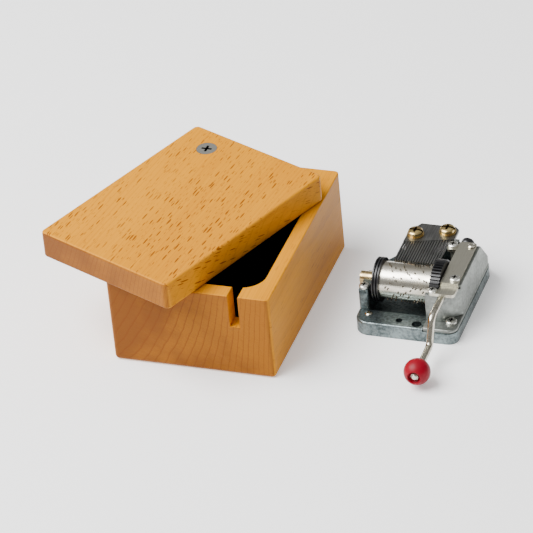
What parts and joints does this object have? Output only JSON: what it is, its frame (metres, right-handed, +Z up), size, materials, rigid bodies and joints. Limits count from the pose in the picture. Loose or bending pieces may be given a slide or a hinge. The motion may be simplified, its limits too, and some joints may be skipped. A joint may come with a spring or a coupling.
{
  "type": "music box",
  "caption": "Hand-cranked music box: a wooden box with a lid that swings on one screw, and the comb movement with its cranked handle standing beside it.",
  "frame": {"origin": "centre of the wooden box's underside, on the surface that the box and the movement stand on", "axes": "+X to the right along the box's front, +Y from the front to the back, +Z up"},
  "size_m": [0.1386, 0.0954, 0.0421],
  "materials": {
    "wood": "satin oiled beech",
    "zinc_casting": "as-cast satin zinc",
    "housing_casting": "satin cast",
    "nickel": "polished nickel",
    "cover_nickel": "brushed nickel",
    "comb_steel": "ground dark steel",
    "yellow_zinc": "yellow passivated",
    "brass": "turned brass",
    "lead": "dull",
    "black_plastic": "moulded",
    "white_plastic": "moulded",
    "red_plastic": "glossy moulded"
  },
  "bodies": {
    "box": {"box_body": "wood", "lid_screw": "nickel"},
    "lid": {"lid": "wood"},
    "movement": {"base_plate": "zinc_casting", "locating_peg": "nickel", "arbor_bush": "brass", "bearing_cap": "nickel", "bearing_cap_screw": "nickel", "idler_pin": "comb_steel", "comb": "comb_steel", "comb_bridge": "zinc_casting", "comb_washers": "yellow_zinc", "comb_screws": "yellow_zinc", "comb_weights": "lead", "comb_dampers": "black_plastic", "gear_housing": "housing_casting", "rear_bush": "black_plastic", "housing_screw": "nickel", "cover_plate": "cover_nickel", "cover_screws": "nickel", "cover_peg": "nickel"},
    "cylinder": {"cylinder_sleeve": "nickel", "cylinder_pins": "comb_steel", "left_end_disc": "black_plastic", "cylinder_arbor": "comb_steel", "cylinder_gear": "black_plastic"},
    "idler": {"idler_gear": "white_plastic"},
    "crank": {"crank_rod": "nickel", "shaft_collar": "comb_steel", "worm": "black_plastic", "knob_rivet": "nickel"},
    "knob": {"knob": "red_plastic"}
  },
  "joints": [
    {"name": "lid_swing", "type": "hinge", "parent": "box", "child": "lid", "pos_m": [-0.0157, 0.0306, 0.0321], "axis": [0, 0, 1], "range_deg": [-157.1, 22.9]},
    {"name": "movement_lift", "type": "slide", "parent": "box", "child": "movement", "axis": [0, 0, 1], "range_m": [0, 0.06]},
    {"name": "crank_turn", "type": "hinge", "parent": "movement", "child": "crank", "pos_m": [0.0775, -0.0097, 0.0148], "axis": [0, 1, 0], "continuous": true},
    {"name": "idler_turn", "type": "hinge", "parent": "movement", "child": "idler", "pos_m": [0.0775, 0.01885, 0.00895], "axis": [1, 0, 0], "continuous": true},
    {"name": "cylinder_turn", "type": "hinge", "parent": "movement", "child": "cylinder", "pos_m": [0.0634, 0.0065, 0.0125], "axis": [1, 0, 0], "continuous": true},
    {"name": "knob_spin", "type": "hinge", "parent": "crank", "child": "knob", "pos_m": [0.0775, -0.0346, 0.0061], "axis": [0, 1, 0], "continuous": true}
  ],
  "couplings": [
    {"joint": "idler_turn", "follows": "crank_turn", "ratio": -0.05},
    {"joint": "cylinder_turn", "follows": "crank_turn", "ratio": 0.022727}
  ]
}
